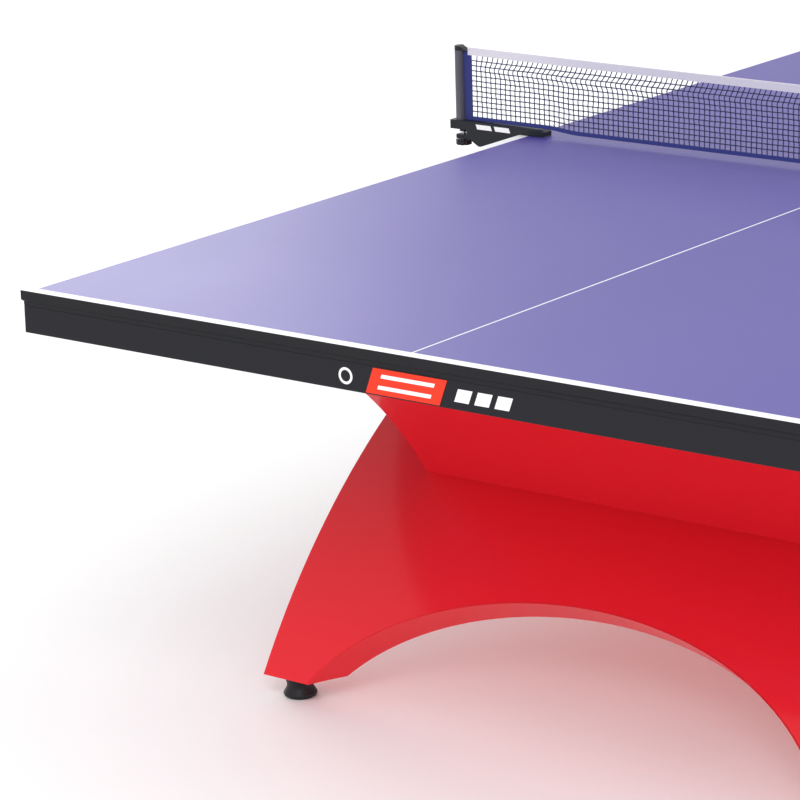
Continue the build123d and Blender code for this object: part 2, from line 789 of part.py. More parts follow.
outer_x = post_x + post_diameter / 2
inner_x = post_x - post_diameter / 2
with BuildPart() as post_caps:
    with BuildSketch(Plane.XY.offset(cap_seat)):
        for sign in sides.values():
            with Locations((sign * post_x, 0)):
                Circle(post_diameter / 2)
            with Locations((sign * (post_x - post_diameter / 4 - cap_reach / 2), 0)):
                Rectangle(post_diameter / 2 + cap_reach, post_diameter * 0.7)
    extrude(amount=cap_height)
    with BuildSketch(Plane.XZ):
        for sign in sides.values():
            draw_profile(
                sign,
                (outer_x, cap_seat), (outer_x, net_top + cap_rise / 2),
                (outer_x - cap_rise, net_top + cap_rise), (post_x, net_top + cap_rise),
                (inner_x, net_top - 1), (inner_x - cap_reach, cap_seat + 1),
                (inner_x - cap_reach, cap_seat),
            )
    extrude(amount=post_diameter, both=True, mode=Mode.INTERSECT)
    with BuildSketch(Plane.XY.offset(cap_seat)):
        for sign in sides.values():
            with Locations((sign * post_x, 0)):
                Circle(post_diameter / 2 - post_wall - thread_gap)
    extrude(amount=-cap_plug)
save(post_caps, "post_caps")

# ---------------------------------------------------------------- the net
sleeve_outer = post_x - post_diameter / 2 - gap
sleeve_inner = sleeve_outer - sleeve_width
band_bottom = clamp_top + gap
band_top = band_bottom + band_height
tape_end = post_x - post_diameter / 2 - cap_reach - gap


def strip_edge(half_span, height, dip):
    """Points along a level edge of the net that drops by dip between the clamps."""
    if dip == 0:
        return [(-half_span, height), (half_span, height)]
    low_x = clamp_inner - dip_run
    right = [(low_x, height - dip), (clamp_inner, height), (half_span, height)]
    return [(-x, z) for x, z in reversed(right)] + right


def net_strip(name, half_span, lower, upper, thickness):
    """Make one upright strip of the net; each edge is given as its height and its dip."""
    points = strip_edge(half_span, *lower) + strip_edge(half_span, *upper)[::-1]
    with BuildPart() as strip:
        with BuildSketch(Plane.XZ):
            Polygon(*points, align=None)
        extrude(amount=thickness / 2, both=True)
    save(strip, name)


band_end = sleeve_inner - gap
net_strip("net_tape", tape_end, (tape_bottom, 0), (net_top, 0), tape_thickness)
net_strip("net_band", band_end, (band_bottom, net_dip), (band_top, net_dip), band_thickness)
net_strip("net_mesh", band_end, (band_top + gap, net_dip), (tape_bottom - gap, 0), cord_thickness)

with BuildPart() as net_sleeves:
    with BuildSketch(Plane.XZ):
        for sign in sides.values():
            with BuildLine():
                Polyline(
                    (sign * sleeve_outer, band_bottom), (sign * sleeve_outer, cap_seat - gap),
                    (sign * (tape_end + gap), cap_seat - gap),
                    (sign * (tape_end + gap), tape_bottom - gap),
                    (sign * sleeve_inner, tape_bottom - gap), (sign * sleeve_inner, band_bottom),
                    close=True,
                )
            make_face()
    extrude(amount=sleeve_thickness / 2, both=True)
save(net_sleeves, "net_sleeves")
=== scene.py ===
"""Table tennis table: the visual model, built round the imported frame.

Metres, +Z up, X across the table, Y along it, the net in the plane Y = 0.
"""

from __future__ import annotations

import json
import logging
import math
from collections.abc import Callable
from dataclasses import dataclass
from enum import Enum

import bpy
import numpy as np
from mathutils import Matrix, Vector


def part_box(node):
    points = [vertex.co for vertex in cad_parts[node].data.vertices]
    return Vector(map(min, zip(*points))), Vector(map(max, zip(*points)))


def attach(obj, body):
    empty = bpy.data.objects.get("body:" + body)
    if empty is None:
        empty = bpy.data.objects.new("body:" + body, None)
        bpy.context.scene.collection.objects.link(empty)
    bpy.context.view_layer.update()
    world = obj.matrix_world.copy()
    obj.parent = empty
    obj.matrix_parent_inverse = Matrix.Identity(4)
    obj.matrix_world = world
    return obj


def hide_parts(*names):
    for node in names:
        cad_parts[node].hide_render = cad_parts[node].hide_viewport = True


LOG = logging.getLogger("table")
MM = 0.001
# Socket numbers of the Mix node when it mixes colours: their names repeat for each type.
MIX_FIRST, MIX_SECOND, MIX_RESULT = 6, 7, 2
# A wave texture has one period in this much of a unit at scale 1.
WAVE_PERIOD = 2 * math.pi / 20

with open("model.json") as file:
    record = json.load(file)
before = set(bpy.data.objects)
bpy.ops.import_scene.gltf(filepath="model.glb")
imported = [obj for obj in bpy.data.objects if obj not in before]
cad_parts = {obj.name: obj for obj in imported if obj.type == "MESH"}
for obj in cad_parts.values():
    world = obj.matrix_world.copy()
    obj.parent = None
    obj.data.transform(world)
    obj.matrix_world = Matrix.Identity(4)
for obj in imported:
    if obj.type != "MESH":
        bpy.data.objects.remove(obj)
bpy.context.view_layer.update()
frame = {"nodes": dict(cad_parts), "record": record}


class End(Enum):
    """The two ends of the table, with their sign along Y."""

    NEAR = -1
    FAR = 1


class Side(Enum):
    """The two sides of the table, with their sign along X."""

    LEFT = -1
    RIGHT = 1


# ------------------------------------------------------------------ meshes


def mesh_object(
    name: str,
    vertices: np.ndarray,
    faces: list,
    uv: np.ndarray | None = None,
) -> bpy.types.Object:
    """Make a smooth-shaded mesh object from plain arrays.

    Args:
        name: the piece's name.
        vertices: array of shape (count, 3), in metres.
        faces: lists of vertex numbers, turned outwards.
        uv: one pair in metres for each vertex, where a pattern follows the surface.

    Returns:
        The linked object, at the origin.
    """
    mesh = bpy.data.meshes.new(name)
    mesh.from_pydata(np.asarray(vertices, float).tolist(), [], faces)
    if uv is not None:
        layer = mesh.uv_layers.new(name="surface")
        corners = np.empty(len(mesh.loops), np.int32)
        mesh.loops.foreach_get("vertex_index", corners)
        layer.data.foreach_set("uv", np.asarray(uv, np.float32)[corners].ravel())
    mesh.polygons.foreach_set("use_smooth", np.ones(len(mesh.polygons), bool))
    mesh.validate()
    mesh.update()
    piece = bpy.data.objects.new(name, mesh)
    bpy.context.scene.collection.objects.link(piece)
    return piece


def grid_faces(rows: int, columns: int, flip: bool = False) -> np.ndarray:
    """Number the quads of an open grid of points.

    Args:
        rows: points along the first parameter.
        columns: points along the second.
        flip: turn the faces the other way.

    Returns:
        An array of shape (quads, 4).
    """
    index = np.arange(rows * columns).reshape(rows, columns)
    quads = np.stack(
        [index[:-1, :-1], index[:-1, 1:], index[1:, 1:], index[1:, :-1]], axis=-1
    ).reshape(-1, 4)
    return quads[:, ::-1] if flip else quads


def sheet_object(
    name: str, points: np.ndarray, flip: bool, thickness: float, bevel: float = 0.0004
) -> bpy.types.Object:
    """Make a closed sheet from a grid of points on its outer face.

    Args:
        name: the piece's name.
        points: array of shape (rows, columns, 3) on the face that shows.
        flip: turn the faces so that they point outwards.
        thickness: the sheet's thickness, taken behind the face.
        bevel: radius of its broken edges.

    Returns:
        The object, with Solidify and Bevel modifiers.
    """
    rows, columns = points.shape[:2]
    run = np.linalg.norm(np.diff(points, axis=0), axis=2).cumsum(axis=0)
    across = np.linalg.norm(np.diff(points, axis=1), axis=2).cumsum(axis=1)
    u = np.concatenate([np.zeros((1, columns)), run])
    v = np.concatenate([np.zeros((rows, 1)), across], axis=1)
    uv = np.stack([v, u], axis=-1).reshape(-1, 2)
    piece = mesh_object(
        name, points.reshape(-1, 3), grid_faces(rows, columns, flip).tolist(), uv
    )
    solid = piece.modifiers.new("thickness", "SOLIDIFY")
    solid.thickness = thickness
    solid.offset = -1
    solid.use_even_offset = True
    soften(piece, bevel)
    return piece


def soften(piece: bpy.types.Object, width: float, angle: float = 40) -> None:
    """Break the sharp edges of a piece.

    Args:
        piece: the piece.
        width: width of the broken edge.
        angle: edges sharper than this many degrees are broken.
    """
    edge = piece.modifiers.new("edges", "BEVEL")
    edge.width = width
    edge.segments = 2
    edge.limit_method = "ANGLE"
    edge.angle_limit = math.radians(angle)
    edge.harden_normals = True


def stand_in(piece: bpy.types.Object, body: str, slot: str, *nodes: str) -> None:
    """Let a piece ride on a body, and let it stand for CAD nodes.

    Args:
        piece: the finished piece.
        body: the CAD body that it moves with.
        slot: the record's material slot; not used.
        nodes: the CAD nodes that it stands for.
    """
    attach(piece, body)
    if nodes:
        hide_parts(*nodes)


def paint(piece: bpy.types.Object, material: bpy.types.Material) -> None:
    """Give a piece one material."""
    piece.data.materials.clear()
    piece.data.materials.append(material)


def paint_node(node: str, material: bpy.types.Material) -> None:
    """Assign a material to every slot of a CAD node's object."""
    for slot in frame["nodes"][node].material_slots:
        slot.material = material


def smooth_noise(values: np.ndarray, seed: int) -> np.ndarray:
    """Sum five sines of unrelated lengths, which gives a slow wander between -1 and 1.

    Args:
        values: where to read it, in metres.
        seed: shifts the sines.

    Returns:
        An array shaped like values.
    """
    lengths = np.array([0.061, 0.113, 0.187, 0.331, 0.590])
    phases = np.array([1.3, 4.1, 2.2, 5.7, 0.4]) * (seed + 1)
    waves = np.sin(2 * math.pi * values[..., None] / lengths + phases)
    return waves.mean(axis=-1)


# ------------------------------------------------------------------ finishes


def linear(code: str) -> tuple[float, float, float, float]:
    """Turn an sRGB hex colour into linear light."""
    parts = [int(code[i : i + 2], 16) / 255 for i in (1, 3, 5)]
    return (
        *[c / 12.92 if c <= 0.04045 else ((c + 0.055) / 1.055) ** 2.4 for c in parts],
        1.0,
    )


def put(
    tree: bpy.types.NodeTree, kind: str, settings: dict | None = None, links: dict | None = None
) -> bpy.types.Node:
    """Add one shader node with its settings and links.

    Args:
        tree: the material's node tree.
        kind: the node's type name.
        settings: values for its properties, or for its inputs by name or number.
        links: sockets to join to its inputs, by name or number.

    Returns:
        The new node.
    """
    node = tree.nodes.new(kind)
    for key, value in (settings or {}).items():
        if isinstance(key, str) and hasattr(node, key):
            setattr(node, key, value)
        else:
            node.inputs[key].default_value = value
    for key, socket in (links or {}).items():
        tree.links.new(socket, node.inputs[key])
    return node


def bare_material(name: str) -> bpy.types.Material:
    """Make a node material whose tree is still empty."""
    made = bpy.data.materials.new(name)
    made.use_nodes = True
    made.node_tree.nodes.clear()
    return made


def blend(
    tree: bpy.types.NodeTree, first: str, second: str, share: bpy.types.NodeSocket
) -> bpy.types.NodeSocket:
    """Mix two sRGB hex colours by a share between 0 and 1."""
    return put(
        tree, "ShaderNodeMix",
        {"data_type": "RGBA", MIX_FIRST: linear(first), MIX_SECOND: linear(second)},
        {"Factor": share},
    ).outputs[MIX_RESULT]


def relief_normal(
    tree: bpy.types.NodeTree, height: bpy.types.NodeSocket, millimetres: float
) -> bpy.types.NodeSocket:
    """Turn a height between 0 and 1 into a bumped normal of that many millimetres."""
    return put(
        tree, "ShaderNodeBump",
        {"Strength": 1.0, "Distance": millimetres * MM}, {"Height": height},
    ).outputs["Normal"]


@dataclass(frozen=True)
class Finish:
    """One finish: its colour, how it reflects, and the small relief of its surface.

    The colour drifts slowly from colour to second over a distance of drift metres, and the
    roughness moves with it by uneven either way. grain is the size of the relief's features
    and relief its height, both in millimetres.
    """

    name: str
    colour: str
    second: str
    roughness: float
    ior: float = 1.5
    metallic: float = 0.0
    coat: float = 0.0
    coat_roughness: float = 0.1
    grain: float = 1.0
    relief: float = 0.01
    drift: float = 0.4
    uneven: float = 0.05
    sheen: float = 0.0
    specular: float = 0.5

    def material(self) -> bpy.types.Material:
        """Build the node material: drifting colour, uneven roughness and fine relief."""
        made = bare_material(self.name)
        tree = made.node_tree
        place = put(tree, "ShaderNodeTexCoord").outputs["Object"]
        slow = put(
            tree, "ShaderNodeTexNoise",
            {"Scale": 1 / self.drift, "Detail": 3.0, "Roughness": 0.5}, {"Vector": place},
        ).outputs["Fac"]
        tone = blend(tree, self.colour, self.second, slow)
        fine = put(
            tree, "ShaderNodeTexNoise",
            {"Scale": 1 / (self.grain * MM), "Detail": 2.0, "Roughness": 0.55},
            {"Vector": place},
        ).outputs["Fac"]
        wear = put(
            tree, "ShaderNodeMapRange",
            {"To Min": self.roughness - self.uneven, "To Max": self.roughness + self.uneven},
            {"Value": slow},
        ).outputs["Result"]
        bump = relief_normal(tree, fine, self.relief)
        shader = put(
            tree, "ShaderNodeBsdfPrincipled",
            {
                "Metallic": self.metallic, "IOR": self.ior,
                "Coat Weight": self.coat, "Coat Roughness": self.coat_roughness,
                "Sheen Weight": self.sheen, "Specular IOR Level": self.specular,
            },
            {"Base Color": tone, "Roughness": wear, "Normal": bump},
        )
        put(tree, "ShaderNodeOutputMaterial", None, {"Surface": shader.outputs["BSDF"]})
        return made


@dataclass(frozen=True)
class Weave:
    """A woven cloth, drawn on the piece's own surface coordinates.

    pitch is the distance between threads and relief the height of the weave, both in
    millimetres. colour is the top of the threads and second a darker colour, painted shade
    in the gaps between them.
    """

    name: str
    colour: str
    second: str
    pitch: float
    relief: float
    roughness: float = 0.85
    sheen: float = 0.25

    def material(self) -> bpy.types.Material:
        """Build the node material: warp and weft as two crossed sets of waves."""
        made = bare_material(self.name)
        tree = made.node_tree
        place = put(tree, "ShaderNodeUVMap", {"uv_map": "surface"}).outputs["UV"]
        scale = WAVE_PERIOD / (self.pitch * MM)
        threads = [
            put(
                tree, "ShaderNodeTexWave",
                {"bands_direction": way, "Scale": scale, "Distortion": 0.6, "Detail": 1.0,
                 "Detail Scale": 2.0},
                {"Vector": place},
            ).outputs["Fac"]
            for way in ("X", "Y")
        ]
        crossed = put(
            tree, "ShaderNodeMath", {"operation": "MULTIPLY"}, {0: threads[0], 1: threads[1]}
        ).outputs[0]
        # Painted shade: the gaps between the threads take the darker second colour.
        tone = blend(tree, self.second, self.colour, crossed)
        bump = relief_normal(tree, crossed, self.relief)
        shader = put(
            tree, "ShaderNodeBsdfPrincipled",
            {"Roughness": self.roughness, "Sheen Weight": self.sheen},
            {"Base Color": tone, "Normal": bump},
        )
        put(tree, "ShaderNodeOutputMaterial", None, {"Surface": shader.outputs["BSDF"]})
        return made


FINISHES = {
    # Roller-coated satin lacquer on board: a dull sheen that turns pale at a low angle.
    "playing_surface": Finish(
        "satin_table_lacquer", "#50449C", "#4B4095", 0.42, grain=0.9, relief=0.012,
        drift=0.5, uneven=0.02,
    ),
    # Matt screen-printed line paint, a little chalky.
    "line_paint": Finish(
        "white_line_paint", "#F4F4F6", "#ECECF0", 0.6, grain=0.8, relief=0.02, drift=0.2,
    ),
    # Extruded ABS edge strip, satin black.
    "edge_strip": Finish(
        "black_abs_edging", "#17171C", "#1B1B20", 0.45, grain=0.6, relief=0.01, drift=0.15,
        specular=0.22,
    ),
    # Fine-textured black powder coat on steel tube.
    "frame_steel": Finish(
        "black_powder_coat", "#19191E", "#1D1D23", 0.5, grain=0.7, relief=0.02, drift=0.2,
        specular=0.22,
    ),
    # Sprayed gloss lacquer under a clear coat, with a faint orange peel.
    "base_lacquer": Finish(
        "red_gloss_lacquer", "#E41C29", "#DE1829", 0.45, coat=0.4, coat_roughness=0.12,
        grain=6.0, relief=0.012, drift=0.6, uneven=0.03, specular=0.12,
    ),
    # Hot-rolled steel left bare inside the base.
    "raw_steel": Finish(
        "bare_steel", "#77777A", "#6A6A6E", 0.45, metallic=1.0, grain=0.4, relief=0.02,
        drift=0.05,
    ),
    # Bright zinc plating on fasteners.
    "zinc_fasteners": Finish(
        "bright_zinc", "#B9BBC0", "#A9ACB4", 0.28, metallic=1.0, grain=0.3, relief=0.006,
        drift=0.01,
    ),
    # Moulded nylon foot with a spark-eroded skin.
    "foot_plastic": Finish(
        "black_moulded_nylon", "#18181C", "#1E1E22", 0.5, grain=0.35, relief=0.03, drift=0.03,
        specular=0.3,
    ),
    # Plain black rubber.
    "foot_rubber": Finish(
        "black_rubber", "#101011", "#171718", 0.8, grain=0.4, relief=0.03, drift=0.02,
    ),
    # Black powder coat on the clamps.
    "clamp_steel": Finish(
        "clamp_powder_coat", "#191B21", "#1F2229", 0.42, grain=0.5, relief=0.02, drift=0.05,
        specular=0.25,
    ),
    # Satin grey stove enamel on the posts.
    "post_steel": Finish(
        "grey_stove_enamel", "#45444F", "#4B4A56", 0.38, coat=0.3, coat_roughness=0.2,
        grain=0.6, relief=0.01, drift=0.05,
    ),
    # Moulded ABS knobs and caps.
    "clamp_plastic": Finish(
        "black_moulded_abs", "#1B1B20", "#222228", 0.4, grain=0.3, relief=0.01, drift=0.02,
        specular=0.3,
    ),
    # Pressed wool felt.
    "felt": Finish(
        "dark_felt", "#1D1D22", "#2B2B31", 0.95, grain=0.6, relief=0.15, drift=0.01, sheen=0.4,
    ),
    # Twisted nylon cord of the net, dark navy.
    "net_cord": Finish(
        "navy_nylon_cord", "#15174A", "#1D2058", 0.6, grain=0.5, relief=0.05, drift=0.03,
        sheen=0.2,
    ),
    # Printed vinyl badge, orange red.
    "badge_vinyl": Finish(
        "orange_vinyl", "#EE3416", "#EA3014", 0.4, grain=0.5, relief=0.004, drift=0.05,
        specular=0.3,
    ),
}

WEAVES = {
    # Bleached cotton tape; threads drawn at 0.9 mm, coarser than real, so that they show. Its
    # grey second colour is painted shade between the threads.
    "net_tape": Weave("white_cotton_tape", "#F2EFF5", "#CFCBD6", 0.9, 0.12),
    # Blue polyester webbing with a 1.1 mm rib; its darker navy second colour is painted shade
    # between the ribs.
    "net_band": Weave("blue_webbing", "#31409A", "#1D2670", 1.1, 0.15),
}


# ------------------------------------------------------------------ the base


@dataclass
class ArchedBase:
    """The lacquered base: a hollow arch along Y, its wings, side panels and openings.

    Sizes are in metres. The arch is a cylinder about an axis along X.
    """

    radius: float = 1.200
    depth: float = 0.060
    skin: float = 0.0015
    tilt: float = math.radians(52)
    peak: float = 0.222
    half_opening: float = 0.530
    rise: float = 0.350
    seam: float = 0.0006
    wing_radius: float = 0.951
    wing_foot: float = 0.741
    wing_reach: float = 1.183
    # Points along and across each sheet, close enough that no facet shows on a curve.
    rows: int = 241
    opening_columns: int = 121
    leg_columns: int = 6
    liner_around: int = 161
    liner_deep: int = 9
    strip_columns: int = 5
    wing_rows: int = 97
    wing_columns: int = 25
    panel_rows: int = 9
    panel_columns: int = 321

    def __post_init__(self) -> None:
        """Take the arch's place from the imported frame."""
        low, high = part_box("arch_outer_skin")
        self.half_width = high.x
        self.leg = low.z
        self.centre = high.z - self.radius
        wing_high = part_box("near_wing")[1]
        self.wing_half = wing_high.x
        self.deck = wing_high.z
        self.foot_z = self.centre + math.sqrt(self.radius**2 - self.wing_foot**2)
        self.crest = self.radius * math.sin(
            self.tilt - math.acos((self.peak - self.centre) / self.radius)
        )

    def opening_slope(self, x: np.ndarray, inset: float = 0.0) -> np.ndarray:
        """Height of the opening's edge, measured up the slope of the leg.

        The edge is an ellipse: its rise falls as the root of one minus the square of the
        share of the half width.

        Args:
            x: places across the table.
            inset: how much smaller than the cut the ellipse is.

        Returns:
            The distance along the slope from the point where the plane touches the arch.
        """
        share = np.clip(np.abs(x) / (self.half_opening - inset), 0, 1)
        return self.crest - self.rise + (self.rise - inset) * np.sqrt(1 - share**2)

    def leg_angle(self, radius: float) -> float:
        """Angle from the crown at which a cylinder reaches the underside of the legs."""
        return math.acos((self.leg - self.centre) / radius)

    def edge_angle(self, x: np.ndarray, radius: float) -> np.ndarray:
        """Angle from the crown at which a skin ends, at the opening or under the leg.

        Args:
            x: places across the table.
            radius: radius of the skin.

        Returns:
            Angles in radians, one for each place.
        """
        slope = self.opening_slope(x)
        opening = self.tilt - np.arcsin(np.clip(slope / radius, -1, 1))
        outside = np.abs(x) >= self.half_opening
        bottom = self.leg_angle(radius)
        return np.where(outside, bottom, np.minimum(opening, bottom))

    def columns(self, radius: float) -> np.ndarray:
        """Places across the arch, with one exactly where the opening meets the leg's end."""
        slope = radius * math.sin(self.tilt - self.leg_angle(radius))
        share = (slope - self.crest + self.rise) / self.rise
        corner = self.half_opening * math.sqrt(1 - share**2)
        turn = np.linspace(-math.pi / 2, math.pi / 2, self.opening_columns)
        inside = np.sin(turn) * corner
        leg = np.linspace(corner, self.half_width, self.leg_columns + 1)[1:]
        return np.concatenate([-leg[::-1], inside, leg])

    def skin_points(self, radius: float) -> np.ndarray:
        """Points on a skin: across the arch, and from leg to leg over the crown.

        Args:
            radius: radius of the face that shows.

        Returns:
            An array of shape (rows, columns, 3).
        """
        x = self.columns(radius)
        share = np.linspace(-1, 1, self.rows)[:, None]
        angle = share * self.edge_angle(x, radius)[None, :]
        return np.stack(
            [
                np.broadcast_to(x, angle.shape),
                radius * np.sin(angle),
                self.centre + radius * np.cos(angle),
            ],
            axis=-1,
        )

    def liner_points(self, end: End) -> np.ndarray:
        """Points of an opening's liner: round the ellipse, and through the arch's depth.

        Each ruling runs square to the plane that touches the leg, from the outer cylinder
        to the inner one, and stops at the underside of the leg.

        Args:
            end: which opening.

        Returns:
            An array of shape (liner_around, liner_deep, 3).
        """
        inset = self.seam
        lowest = self.radius * math.sin(self.tilt - self.leg_angle(self.radius))
        share = (lowest - self.crest + self.rise) / (self.rise - inset)
        limit = math.acos(min(share, 1))
        turn = np.linspace(-limit, limit, self.liner_around)
        x = (self.half_opening - inset) * np.sin(turn)
        slope = self.crest - self.rise + (self.rise - inset) * np.cos(turn)
        outer = np.sqrt(self.radius**2 - slope**2)
        inner = np.sqrt((self.radius - self.depth) ** 2 - slope**2)
        floor = (self.leg - self.centre - slope * math.sin(self.tilt)) / math.cos(self.tilt)
        inner = np.minimum(np.maximum(inner, floor), outer)
        through = np.linspace(0, 1, self.liner_deep)[None, :]
        reach = inner[:, None] + (outer - inner)[:, None] * through
        y = reach * math.sin(self.tilt) - slope[:, None] * math.cos(self.tilt)
        z = self.centre + reach * math.cos(self.tilt) + slope[:, None] * math.sin(self.tilt)
        return np.stack([np.broadcast_to(x[:, None], y.shape), end.value * y, z], axis=-1)

    def side_points(self, side: Side) -> np.ndarray:
        """Points of the strip that closes the arch's side, between its two skins.

        Args:
            side: which side of the table.

        Returns:
            An array of shape (rows, strip_columns, 3).
        """
        inner = self.radius - self.depth + self.skin
        outer = self.radius - self.skin
        radii = np.linspace(inner, outer, self.strip_columns)[None, :]
        bottom = np.arccos((self.leg - self.centre) / radii)
        angle = np.linspace(-1, 1, self.rows)[:, None] * bottom
        x = np.full(angle.shape, side.value * self.half_width)
        return np.stack(
            [x, radii * np.sin(angle), self.centre + radii * np.cos(angle)], axis=-1
        )

    def wing_centre(self) -> tuple[float, float]:
        """Centre of a wing's curve as a distance from the net and a height."""
        tip = np.array([self.wing_reach, self.deck])
        foot = np.array([self.wing_foot, self.foot_z])
        chord = tip - foot
        half = np.linalg.norm(chord) / 2
        square = np.array([chord[1], -chord[0]]) / (2 * half)
        centre = foot + chord / 2 + square * math.sqrt(self.wing_radius**2 - half**2)
        return float(centre[0]), float(centre[1])

    def wing_points(self, end: End) -> np.ndarray:
        """Points of a wing: an arc from its foot on the arch to the deck, carried across.

        Args:
            end: which end of the table.

        Returns:
            An array of shape (wing_rows, wing_columns, 3).
        """
        out, up = self.wing_centre()
        first = math.atan2(self.foot_z - up, self.wing_foot - out)
        last = math.atan2(self.deck - up, self.wing_reach - out)
        angle = np.linspace(first, last, self.wing_rows)[:, None]
        x = np.linspace(-self.wing_half, self.wing_half, self.wing_columns)[None, :]
        y = end.value * (out + self.wing_radius * np.cos(angle))
        z = up + self.wing_radius * np.sin(angle)
        return np.stack(np.broadcast_arrays(x, y, z), axis=-1)

    def panel_points(self, side: Side) -> np.ndarray:
        """Points of a side panel: from the arch and the wings' backs up to the deck.

        Args:
            side: which side of the table.

        Returns:
            An array of shape (panel_rows, panel_columns, 3).
        """
        out, up = self.wing_centre()
        behind = self.wing_radius + self.skin
        reach = out - math.sqrt(behind**2 - (self.deck - up) ** 2)
        y = np.linspace(-reach, reach, self.panel_columns)
        arch = self.centre + np.sqrt(np.maximum(self.radius**2 - y**2, 0))
        wing = up + np.sqrt(np.maximum(behind**2 - (np.abs(y) - out) ** 2, 0))
        bottom = np.minimum(np.maximum(arch, wing), self.deck)
        share = np.linspace(0, 1, self.panel_rows)[:, None]
        z = bottom[None, :] + share * (self.deck - bottom)[None, :]
        x = np.full(z.shape, side.value * self.wing_half)
        return np.stack([x, np.broadcast_to(y, z.shape), z], axis=-1)

    def build(self, material: bpy.types.Material) -> None:
        """Make every lacquered sheet of the base and put it in its node's place.

        Args:
            material: the lacquer.
        """
        inner = self.radius - self.depth
        made = [
            ("arch_outer_sheet", self.skin_points(self.radius), False, "arch_outer_skin"),
            ("arch_inner_sheet", self.skin_points(inner), True, "arch_inner_skin"),
        ]
        for side in Side:
            name = side.name.lower()
            right = side is Side.RIGHT
            made += [
                (f"arch_{name}_strip", self.side_points(side), right, f"arch_{name}_side"),
                (f"{name}_panel_sheet", self.panel_points(side), not right,
                 f"{name}_side_panel"),
            ]
        for end in End:
            name = end.name.lower()
            near = end is End.NEAR
            made += [
                (f"{name}_liner_sheet", self.liner_points(end), not near,
                 f"{name}_opening_liner"),
                (f"{name}_wing_sheet", self.wing_points(end), near, f"{name}_wing"),
            ]
        for sheet, points, flip, node in made:
            piece = sheet_object(sheet, points, flip, self.skin)
            paint(piece, material)
            stand_in(piece, "root", "base_lacquer", node)
            LOG.info("base: %s", piece.name)


# ------------------------------------------------------------------ the net


